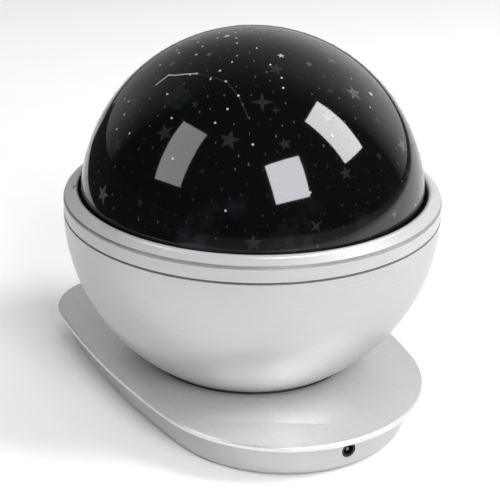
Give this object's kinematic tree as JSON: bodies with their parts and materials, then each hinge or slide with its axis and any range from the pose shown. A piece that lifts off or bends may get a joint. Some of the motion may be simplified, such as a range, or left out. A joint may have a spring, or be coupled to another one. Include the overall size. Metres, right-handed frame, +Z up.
{
  "type": "star projector night light",
  "caption": "Table star projector: glossy black printed dome that turns in a silver ring over a round silver bowl, on a low egg-shaped silver base with a round power inlet.",
  "frame": {"origin": "on the floor, under the bowl's axis, on the underside of the rubber pad", "axes": "+Z up; -Y towards the front of the base, where the power inlet is; +X to the right as seen from the front"},
  "size_m": [0.136, 0.1593, 0.1369],
  "materials": {
    "silver_shell": "satin metallic silver paint on moulded plastic",
    "dome_print": "glossy black print with grey stars on clear plastic",
    "black_plastic": "matt black moulded plastic",
    "white_plastic": "natural white moulded plastic",
    "rubber_pad": "matt black rubber",
    "zinc_screw": "zinc-plated steel",
    "motor_steel": "plated steel can",
    "bright_pin": "bright plated pin",
    "board_green": "green circuit board",
    "board_black": "black moulded components",
    "led_white": "clear moulded lamp bodies",
    "clear_cap": "clear moulded cap",
    "lead_red": "red insulated wire",
    "lead_black": "black insulated wire"
  },
  "bodies": {
    "stand": {"base_plate": "silver_shell", "base_tray": "silver_shell", "base_pad": "rubber_pad", "base_screws": "zinc_screw", "foot_gasket": "black_plastic", "foot_screws": "zinc_screw", "bowl_shell": "silver_shell", "trim_ring": "silver_shell", "deck": "black_plastic", "deck_screws": "zinc_screw", "lamp_post": "black_plastic", "post_screws": "zinc_screw", "lamp_board": "board_green", "lamp_leds": "led_white", "lamp_cover": "clear_cap", "turntable_clip": "white_plastic", "motor_case": "motor_steel", "motor_screws": "zinc_screw", "main_board": "board_green", "board_parts": "board_black", "board_screws": "zinc_screw", "power_jack": "black_plastic", "jack_pin": "bright_pin", "button_switch": "board_black", "switch_board": "board_green", "power_lead": "lead_red", "switch_lead": "lead_black", "lamp_lead": "lead_red", "motor_lead": "lead_black"},
    "projector": {"dome_shell": "dome_print", "turntable": "white_plastic", "dome_screws": "zinc_screw"},
    "drive": {"pinion": "white_plastic", "motor_shaft": "motor_steel"},
    "button": {"power_button": "black_plastic"}
  },
  "joints": [
    {"name": "dome_spin", "type": "hinge", "parent": "stand", "child": "projector", "pos_m": [0, 0, 0.0724], "axis": [0, 0, 1], "continuous": true},
    {"name": "pinion_spin", "type": "hinge", "parent": "stand", "child": "drive", "pos_m": [0, 0.0288, 0.0644], "axis": [0, 0, 1], "continuous": true},
    {"name": "button_press", "type": "slide", "parent": "stand", "child": "button", "axis": [0, -1, 0], "range_m": [0, 0.0008], "stiffness_N_per_m": 400, "springref_m": -0.0005}
  ],
  "couplings": [
    {"joint": "pinion_spin", "follows": "dome_spin", "ratio": -5}
  ]
}
